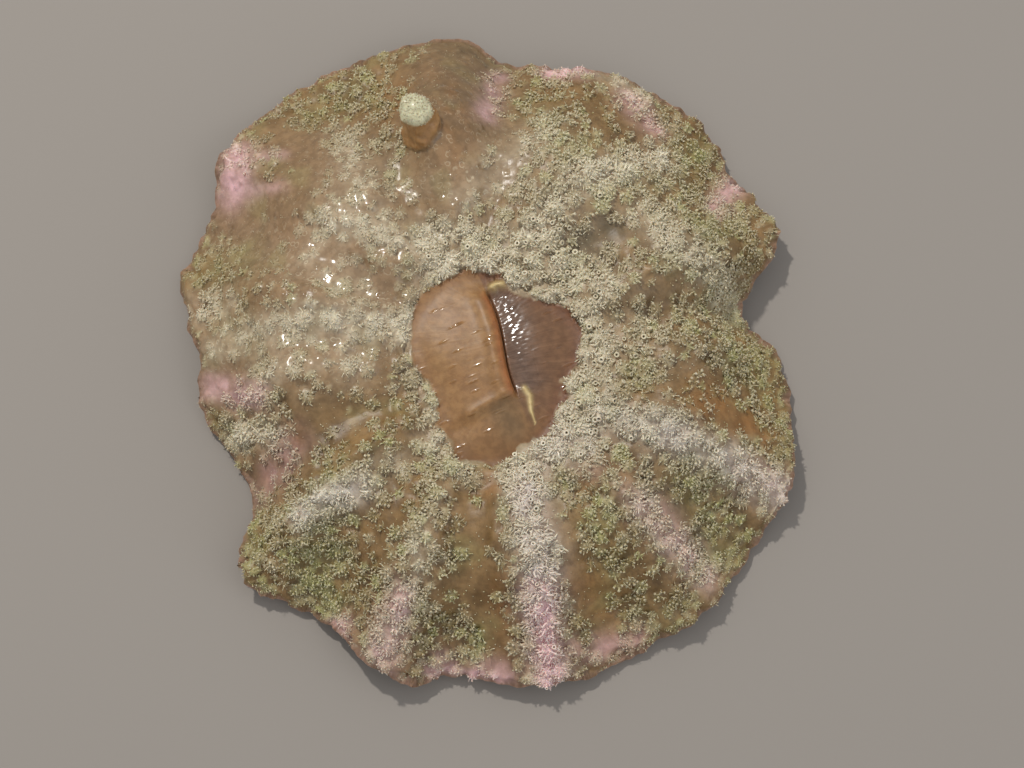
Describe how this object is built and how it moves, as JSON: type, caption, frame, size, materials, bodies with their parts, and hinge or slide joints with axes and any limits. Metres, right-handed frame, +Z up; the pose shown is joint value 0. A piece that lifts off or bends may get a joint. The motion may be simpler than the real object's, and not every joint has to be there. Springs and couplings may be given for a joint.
{
  "type": "sea anemone",
  "caption": "Carpet sea anemone: a low wide disc in draped lobes, thick with short tentacles, its bare middle split by a slit mouth, on a short column and flat foot.",
  "frame": {"origin": "centre of the bounding box, on the ground plane that the foot and the lowest rims rest on", "axes": "+Z up out of the mouth; -Y towards the viewer of the usual picture, +X to that viewer's right; the mouth's slit runs from +Y to -Y, leaning towards +X"},
  "size_m": [0.0956, 0.1036, 0.0263],
  "materials": {
    "tentacled_disc": "wet translucent flesh, olive brown ground under pale grey-green tentacles, pink at the rim",
    "bare_disc": "smooth wet peach-brown skin with fine radial lines",
    "lip": "wet orange-brown lip of the mouth",
    "siphonoglyph": "smooth wet yellow groove",
    "column_wall": "soft pinkish wall with fine upright lines and small warts",
    "knob": "pale yellow-green swollen cap on a brown stub"
  },
  "bodies": {
    "root": {"lobe_east": "tentacled_disc", "lobe_northeast": "tentacled_disc", "lobe_north_bare": "tentacled_disc", "lobe_northwest": "tentacled_disc", "lobe_west_upper": "tentacled_disc", "lobe_west": "tentacled_disc", "lobe_southwest_upper": "tentacled_disc", "lobe_southwest": "tentacled_disc", "lobe_south": "tentacled_disc", "lobe_southeast": "tentacled_disc", "lobe_east_lower": "tentacled_disc", "bare_disc_west": "bare_disc", "bare_disc_east": "bare_disc", "lip_west": "lip", "lip_east": "lip", "siphonoglyph_north": "siphonoglyph", "siphonoglyph_south": "siphonoglyph", "column": "column_wall", "foot": "column_wall", "knob": "knob"}
  },
  "joints": []
}
